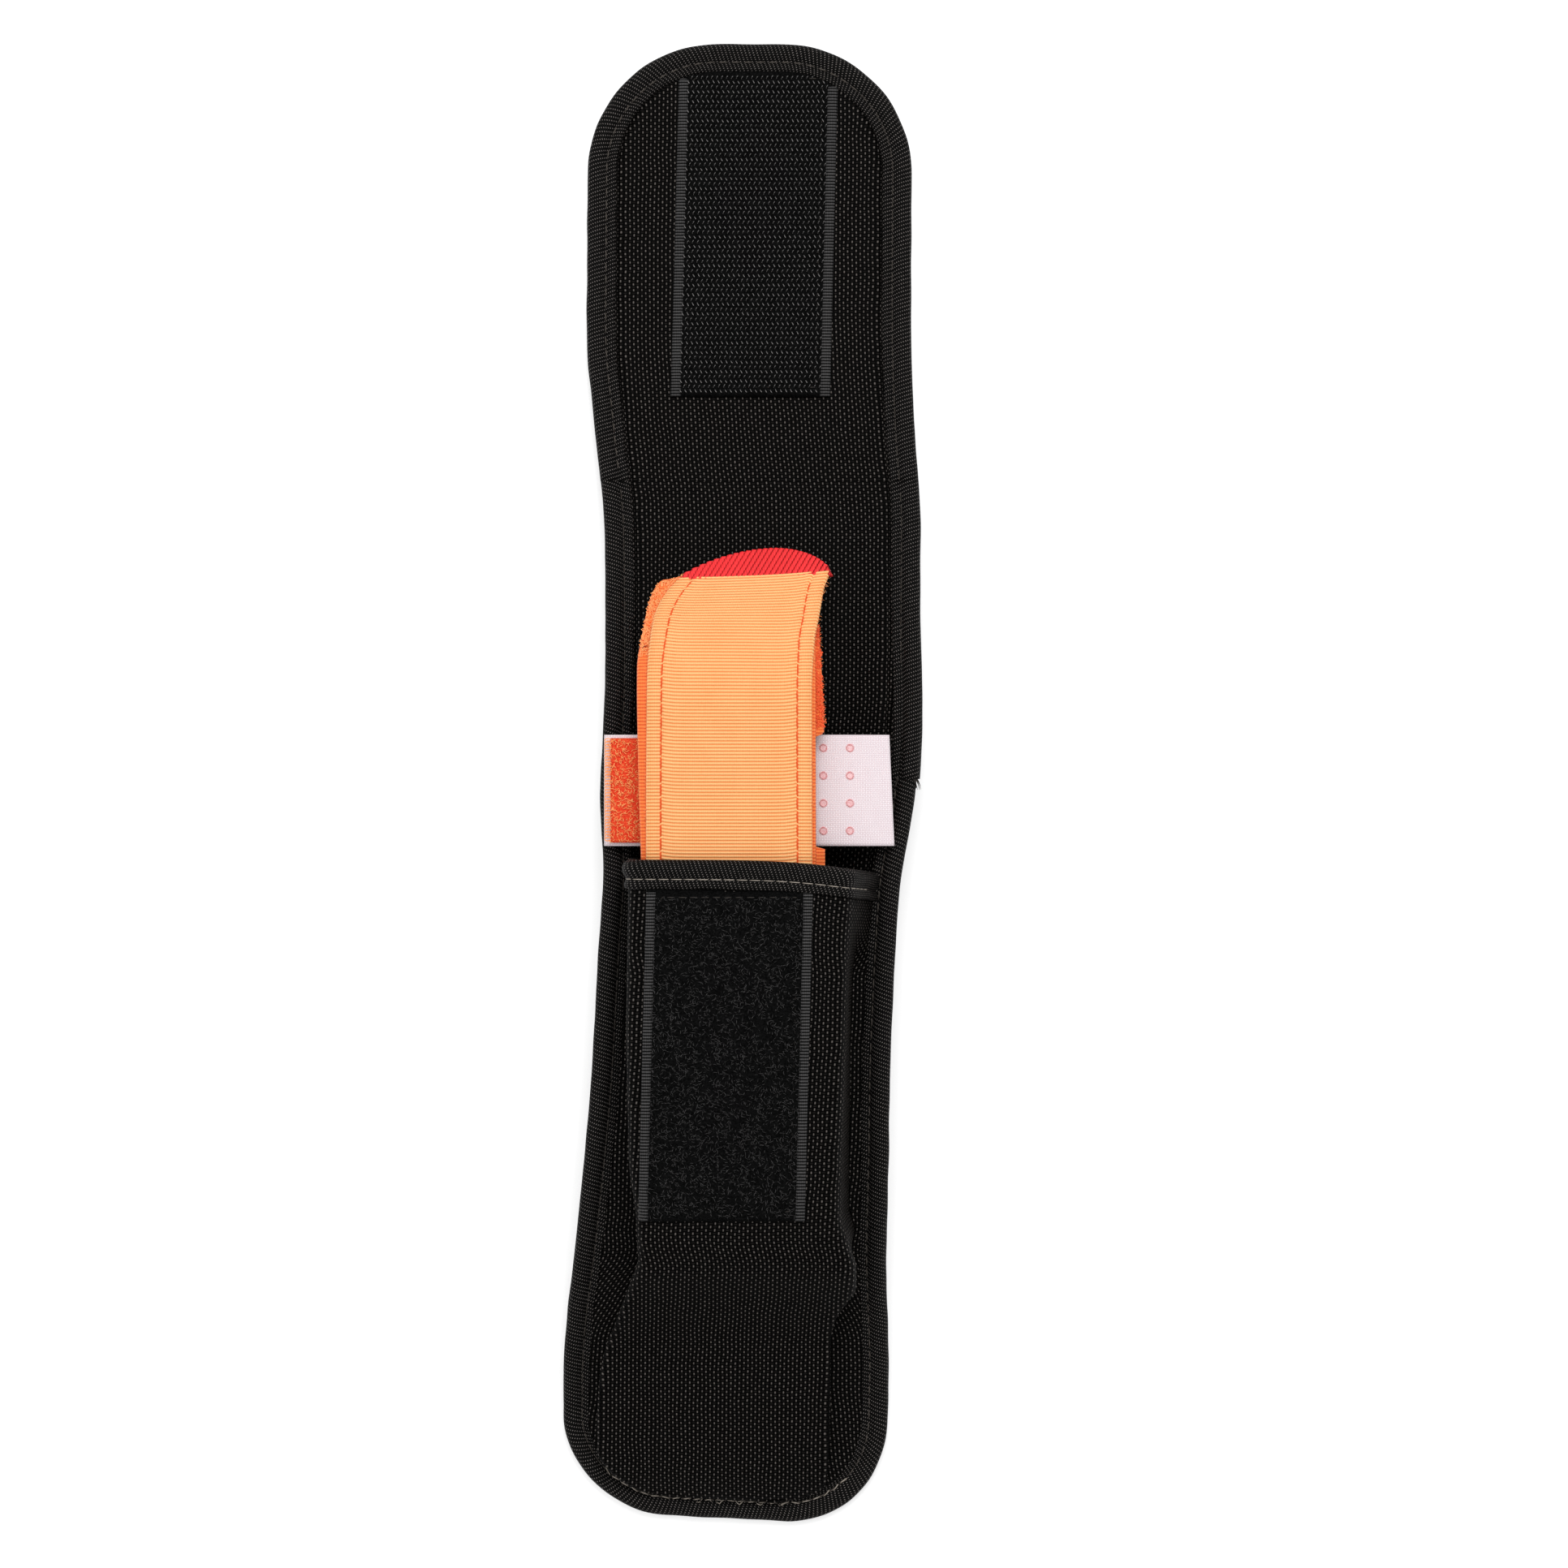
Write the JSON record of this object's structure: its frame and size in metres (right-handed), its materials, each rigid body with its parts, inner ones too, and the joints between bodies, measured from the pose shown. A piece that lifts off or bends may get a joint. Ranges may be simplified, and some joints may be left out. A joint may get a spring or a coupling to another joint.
{
  "type": "tourniquet in belt pouch",
  "caption": "Windlass tourniquet with folded orange band, red pull tip and time strap, stowed in an open nylon belt pouch with a hook-and-loop flap.",
  "frame": {"origin": "centre of the bounding box, on the surface the open pouch lies on", "axes": "+X across the pouch, +Y along it towards the flap's tip, +Z out of the pouch's front"},
  "size_m": [0.0862, 0.354, 0.0376],
  "materials": {
    "nylon": "coarse woven nylon, matte",
    "binding": "twill binding tape, slight sheen",
    "pile": "hook-and-loop pile",
    "orange_band": "ribbed grosgrain webbing",
    "red_tip": "diagonal ribbed webbing",
    "white_strap": "fine woven strap",
    "hook_patch": "hook-and-loop pile, orange red",
    "moulded": "moulded nylon, fine texture"
  },
  "bodies": {
    "pouch": {"back_panel": "nylon", "lower_binding": "binding", "upper_binding_end": "binding", "pocket_shell": "nylon", "mouth_binding": "binding", "pocket_loop_pad": "pile", "belt_loop": "binding"},
    "flap_bridge": {"flap_bridge_panel": "nylon", "bridge_binding_left": "binding", "bridge_binding_right": "binding"},
    "flap_front": {"flap_panel": "nylon", "flap_binding": "binding", "flap_hook_pad": "pile"},
    "tourniquet": {"band_bundle": "orange_band", "inner_strap": "orange_band", "stabilization_plate": "moulded", "windlass_clip": "moulded", "friction_buckle": "moulded", "time_strap_middle": "white_strap"},
    "windlass": {"windlass_rod": "moulded"},
    "strap_left": {"time_strap_left_tab": "white_strap", "left_tab_patch": "hook_patch"},
    "strap_right": {"time_strap_right_tab": "white_strap", "right_tab_patch": "hook_patch"},
    "band_end": {"band_free_end": "orange_band", "band_tip": "red_tip"}
  },
  "joints": [
    {"name": "flap_back_fold", "type": "hinge", "parent": "pouch", "child": "flap_bridge", "pos_m": [0, 0.0605, 0.0108], "axis": [1, 0, 0], "range_deg": [0, 90]},
    {"name": "flap_front_fold", "type": "hinge", "parent": "flap_bridge", "child": "flap_front", "pos_m": [0, 0.0825, 0.0083], "axis": [1, 0, 0], "range_deg": [0, 88]},
    {"name": "tourniquet_slide", "type": "slide", "parent": "pouch", "child": "tourniquet", "axis": [0, -1, 0], "range_m": [-0.13, 0]},
    {"name": "windlass_turn", "type": "hinge", "parent": "tourniquet", "child": "windlass", "pos_m": [-0.0023, -0.028, 0.014], "axis": [0, 0, 1], "range_deg": [-2, 2]},
    {"name": "strap_left_fold", "type": "hinge", "parent": "tourniquet", "child": "strap_left", "pos_m": [-0.0217, -0.0022, 0.023], "axis": [0, 1, 0], "range_deg": [0, 60]},
    {"name": "strap_right_fold", "type": "hinge", "parent": "tourniquet", "child": "strap_right", "pos_m": [0.0171, -0.0022, 0.0219], "axis": [0, -1, 0], "range_deg": [0, 60]},
    {"name": "band_end_peel", "type": "hinge", "parent": "tourniquet", "child": "band_end", "pos_m": [-0.0023, -0.016, 0.033], "axis": [-1, 0, 0], "range_deg": [-100, 0]}
  ]
}
